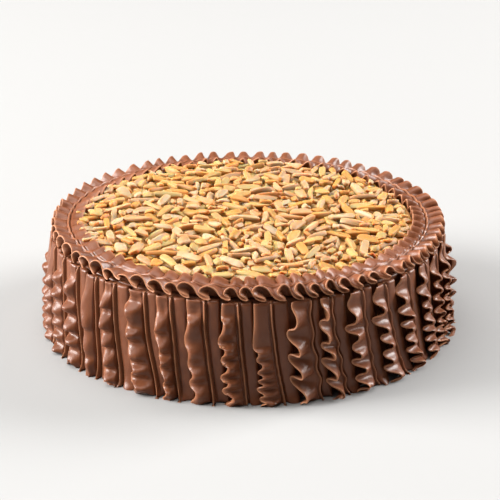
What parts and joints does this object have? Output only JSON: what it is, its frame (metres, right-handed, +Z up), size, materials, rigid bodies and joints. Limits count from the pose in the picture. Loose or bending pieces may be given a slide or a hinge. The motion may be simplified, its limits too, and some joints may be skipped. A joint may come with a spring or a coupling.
{
  "type": "sans rival cake",
  "caption": "Round uncut cake with upright ruffled ribbons of chocolate buttercream round its side, a curled cream border on its top edge and a bed of toasted slivered almonds.",
  "frame": {"origin": "middle of the cake's flat underside, on the surface it stands on", "axes": "+Z up along the cake's axis; -Y is the side that faces the viewer in the picture"},
  "size_m": [0.2439, 0.2427, 0.0649],
  "materials": {
    "buttercream": "smooth milk-chocolate buttercream with a satin shine",
    "toasted_almond": "toasted slivered almonds, matt, pale cream to golden brown"
  },
  "bodies": {
    "root": {"cake": "buttercream", "side_ruffle_01": "buttercream", "side_ruffle_02": "buttercream", "side_ruffle_03": "buttercream", "side_ruffle_04": "buttercream", "side_ruffle_05": "buttercream", "side_ruffle_06": "buttercream", "side_ruffle_07": "buttercream", "side_ruffle_08": "buttercream", "side_ruffle_09": "buttercream", "side_ruffle_10": "buttercream", "side_ruffle_11": "buttercream", "side_ruffle_12": "buttercream", "side_ruffle_13": "buttercream", "side_ruffle_14": "buttercream", "side_ruffle_15": "buttercream", "side_ruffle_16": "buttercream", "side_ruffle_17": "buttercream", "side_ruffle_18": "buttercream", "side_ruffle_19": "buttercream", "side_ruffle_20": "buttercream", "side_ruffle_21": "buttercream", "side_ruffle_22": "buttercream", "side_ruffle_23": "buttercream", "side_ruffle_24": "buttercream", "side_ruffle_25": "buttercream", "side_ruffle_26": "buttercream", "side_ruffle_27": "buttercream", "side_ruffle_28": "buttercream", "side_ruffle_29": "buttercream", "side_ruffle_30": "buttercream", "side_ruffle_31": "buttercream", "side_ruffle_32": "buttercream", "side_ruffle_33": "buttercream", "side_ruffle_34": "buttercream", "side_ruffle_35": "buttercream", "side_ruffle_36": "buttercream", "side_ruffle_37": "buttercream", "side_ruffle_38": "buttercream", "side_ruffle_39": "buttercream", "side_ruffle_40": "buttercream", "top_border": "buttercream", "almond_topping": "toasted_almond"}
  },
  "joints": []
}
